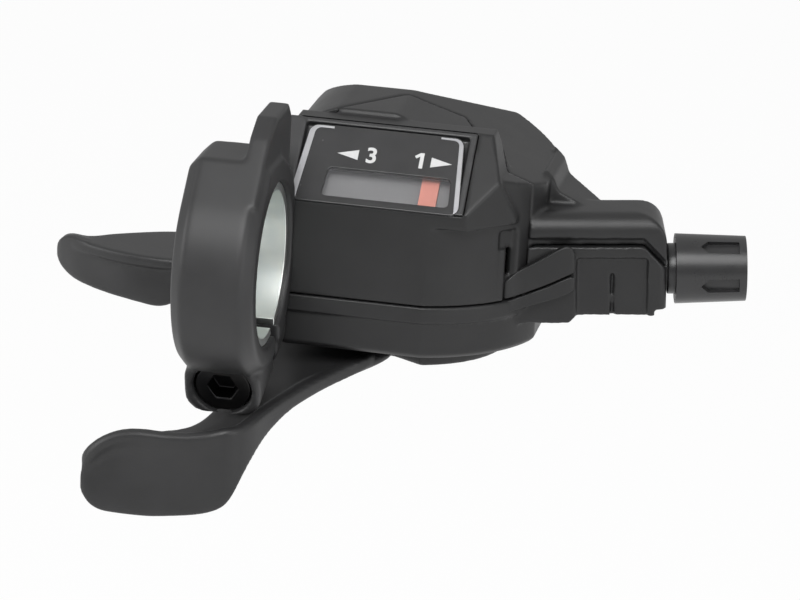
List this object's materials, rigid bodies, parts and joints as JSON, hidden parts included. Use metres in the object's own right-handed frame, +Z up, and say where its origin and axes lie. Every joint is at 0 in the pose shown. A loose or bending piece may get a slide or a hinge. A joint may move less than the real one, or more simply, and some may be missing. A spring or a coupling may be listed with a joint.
{
  "type": "trigger gear shifter",
  "caption": "Left-hand trigger gear shifter with a hinged-bolt bar clamp, gear window, thumb lever, release trigger and barrel adjuster",
  "frame": {"origin": "on the handlebar axis at the middle of the clamp's width", "axes": "+X along the handlebar towards its centre and the cable outlet, +Y forwards, +Z up along the lever pivot"},
  "size_m": [0.1108, 0.0759, 0.0605],
  "materials": {
    "housing_black": "fine moulded texture",
    "clamp_black": "fine moulded texture",
    "bezel_black": "satin",
    "lens_black": "gloss with printed scale",
    "dial_grey": "satin",
    "pointer_red": "satin",
    "lever_black": "matte",
    "adjuster_black": "satin",
    "zinc_band": "zinc plated",
    "black_steel": "black oxide",
    "bare_steel": "stamped",
    "spring_steel": "drawn wire",
    "spool_nylon": "moulded"
  },
  "bodies": {
    "housing": {"clamp_band": "zinc_band", "clamp_cover": "clamp_black", "clamp_bolt": "black_steel", "clamp_nut": "bare_steel", "upper_housing": "housing_black", "rear_cover": "housing_black", "lower_cover": "housing_black", "base_plate": "bare_steel", "cover_screws": "black_steel", "display_bezel": "bezel_black", "display_lens": "lens_black", "dial_plate": "dial_grey", "holding_pawl_pin": "bare_steel", "main_axle": "black_steel", "axle_washer": "bare_steel", "lever_spring": "spring_steel", "spool_spring": "spring_steel", "release_spring": "spring_steel", "adjuster_spring": "spring_steel"},
    "thumb_lever": {"thumb_lever": "lever_black", "drive_plate": "bare_steel"},
    "winding_pawl": {"winding_pawl": "bare_steel"},
    "release_lever": {"release_lever": "lever_black"},
    "holding_pawl": {"holding_pawl": "bare_steel"},
    "spool": {"cable_spool": "spool_nylon", "ratchet_wheel": "bare_steel", "indicator_arm": "bare_steel"},
    "indicator": {"indicator": "pointer_red"},
    "barrel": {"barrel_adjuster": "adjuster_black"}
  },
  "joints": [
    {"name": "thumb_lever_push", "type": "hinge", "parent": "housing", "child": "thumb_lever", "pos_m": [0.02, 0.0355, -0.012], "axis": [0, 0, 1], "range_deg": [-45, 0], "stiffness_Nm_per_rad": 0.08, "springref_deg": 17.19},
    {"name": "winding_pawl_swing", "type": "hinge", "parent": "thumb_lever", "child": "winding_pawl", "pos_m": [0.02725, 0.02294, -0.0123], "axis": [0, 0, -1], "range_deg": [0, 8], "stiffness_Nm_per_rad": 0.002, "springref_deg": -11.46},
    {"name": "release_lever_pull", "type": "hinge", "parent": "housing", "child": "release_lever", "pos_m": [0.02, 0.0355, -0.012], "axis": [0, 0, 1], "range_deg": [0, 12], "stiffness_Nm_per_rad": 0.06, "springref_deg": -17.19},
    {"name": "holding_pawl_lift", "type": "hinge", "parent": "housing", "child": "holding_pawl", "pos_m": [0.01068, 0.04661, -0.0123], "axis": [0, 0, 1], "range_deg": [0, 6]},
    {"name": "spool_turn", "type": "hinge", "parent": "housing", "child": "spool", "pos_m": [0.02, 0.0355, -0.012], "axis": [0, 0, 1], "range_deg": [-45, 0], "stiffness_Nm_per_rad": 0.05, "springref_deg": 22.92},
    {"name": "indicator_slide", "type": "slide", "parent": "housing", "child": "indicator", "axis": [1, 0, 0], "range_m": [-0.01338, 0]},
    {"name": "barrel_turn", "type": "hinge", "parent": "housing", "child": "barrel", "pos_m": [0.06052, 0.03316, -0.00423], "axis": [0.9811, 0.1854, 0.055], "continuous": true}
  ],
  "couplings": [
    {"joint": "indicator_slide", "follows": "spool_turn", "m_per_rad": 0.017029},
    {"joint": "holding_pawl_lift", "follows": "release_lever_pull", "ratio": 0.5}
  ]
}
